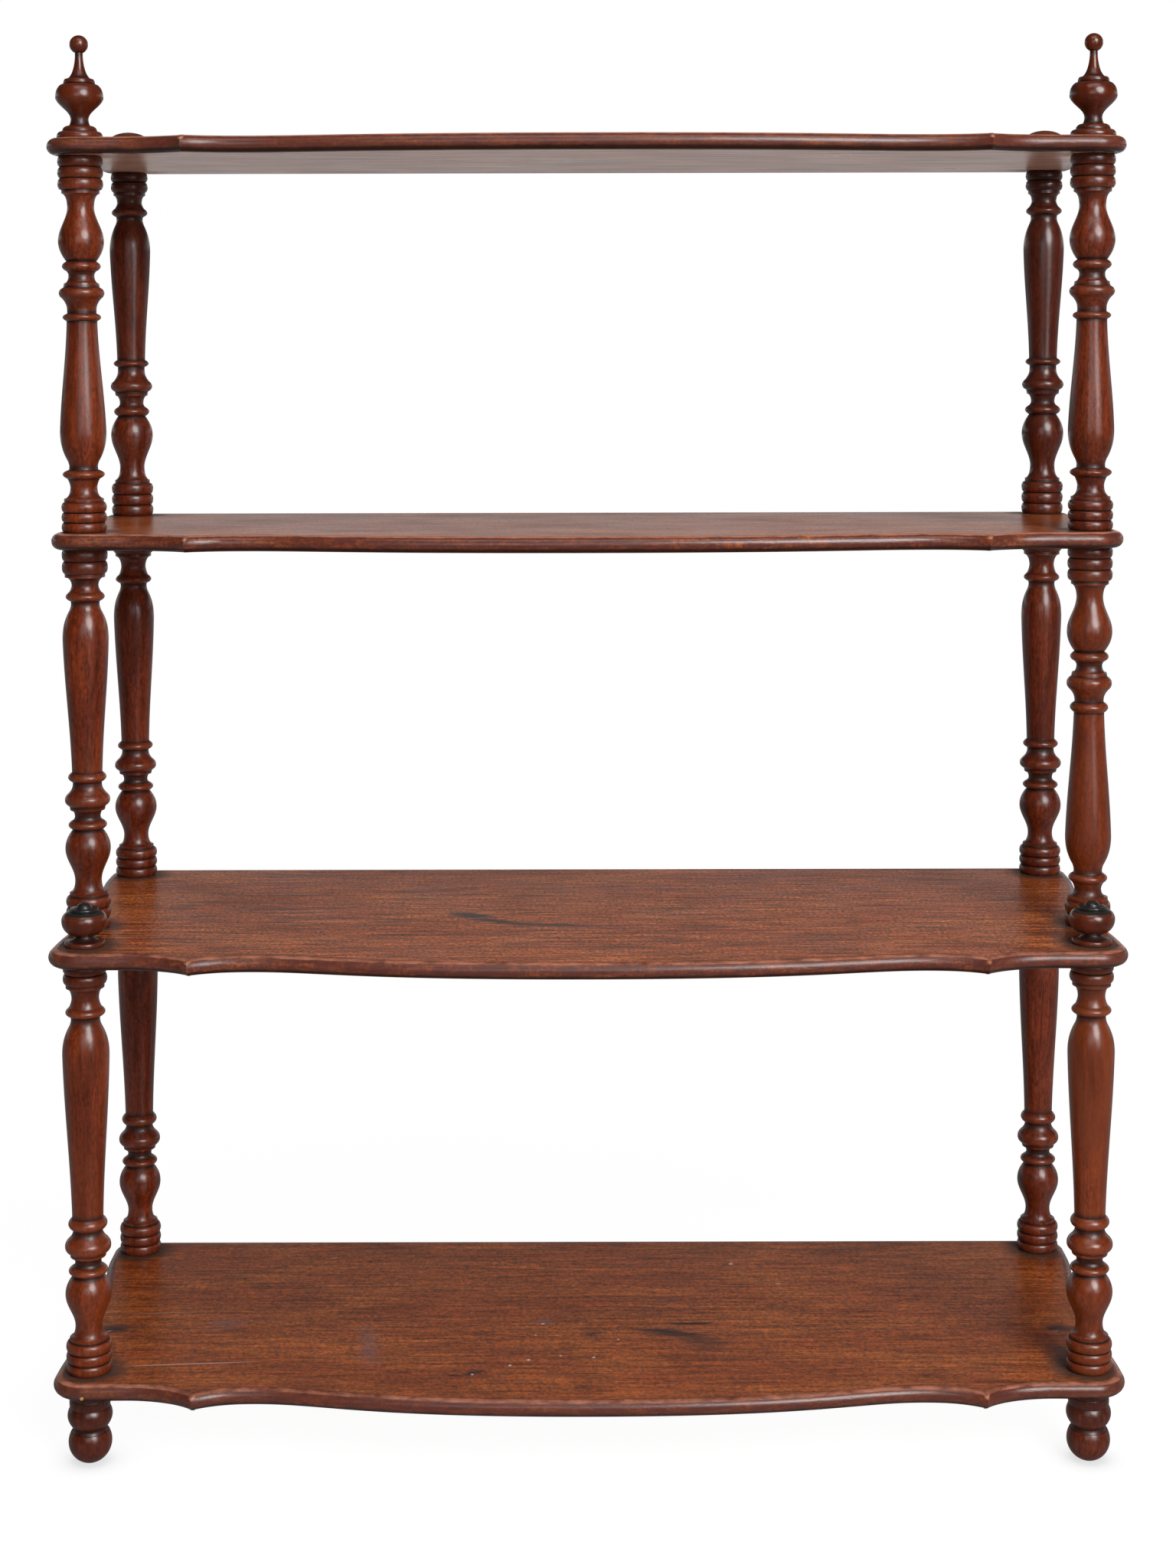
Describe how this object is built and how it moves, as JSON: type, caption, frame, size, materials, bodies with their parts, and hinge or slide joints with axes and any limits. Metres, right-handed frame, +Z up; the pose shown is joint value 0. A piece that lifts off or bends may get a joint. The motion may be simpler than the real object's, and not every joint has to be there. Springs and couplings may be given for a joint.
{
  "type": "four-shelf stepped etagere",
  "caption": "Tall open shelf stand: serpentine-fronted boards on turned posts, the upper ones set back, with finials, knobs and ball feet.",
  "frame": {"origin": "middle of the bounding box at floor level, where the feet stand", "axes": "+X to the viewer's right, +Y to the back edges of the shelves, +Z up"},
  "size_m": [0.942, 0.386, 1.2385],
  "materials": {
    "shelf_wood": "polished, straight dark red-brown grain along the width",
    "turned_wood": "glossy polish over dark red-brown stain, grain along the axis",
    "dowel_wood": "plain planed pale hardwood, hidden inside the joints",
    "brass": "worn satin"
  },
  "bodies": {
    "root": {"top_shelf": "shelf_wood", "second_shelf": "shelf_wood", "third_shelf": "shelf_wood", "bottom_shelf": "shelf_wood", "upper_front_left_post": "turned_wood", "upper_front_right_post": "turned_wood", "upper_back_left_post": "turned_wood", "upper_back_right_post": "turned_wood", "middle_front_left_post": "turned_wood", "middle_front_right_post": "turned_wood", "middle_back_left_post": "turned_wood", "middle_back_right_post": "turned_wood", "lower_front_left_post": "turned_wood", "lower_front_right_post": "turned_wood", "lower_back_left_post": "turned_wood", "lower_back_right_post": "turned_wood", "finial_left": "turned_wood", "finial_right": "turned_wood", "back_cap_left": "turned_wood", "back_cap_right": "turned_wood", "knob_left": "turned_wood", "knob_right": "turned_wood", "front_left_foot": "turned_wood", "front_right_foot": "turned_wood", "back_left_foot": "turned_wood", "back_right_foot": "turned_wood", "top_dowels": "dowel_wood", "second_dowels": "dowel_wood", "third_dowels": "dowel_wood", "bottom_dowels": "dowel_wood", "locking_pin": "brass"}
  },
  "joints": []
}
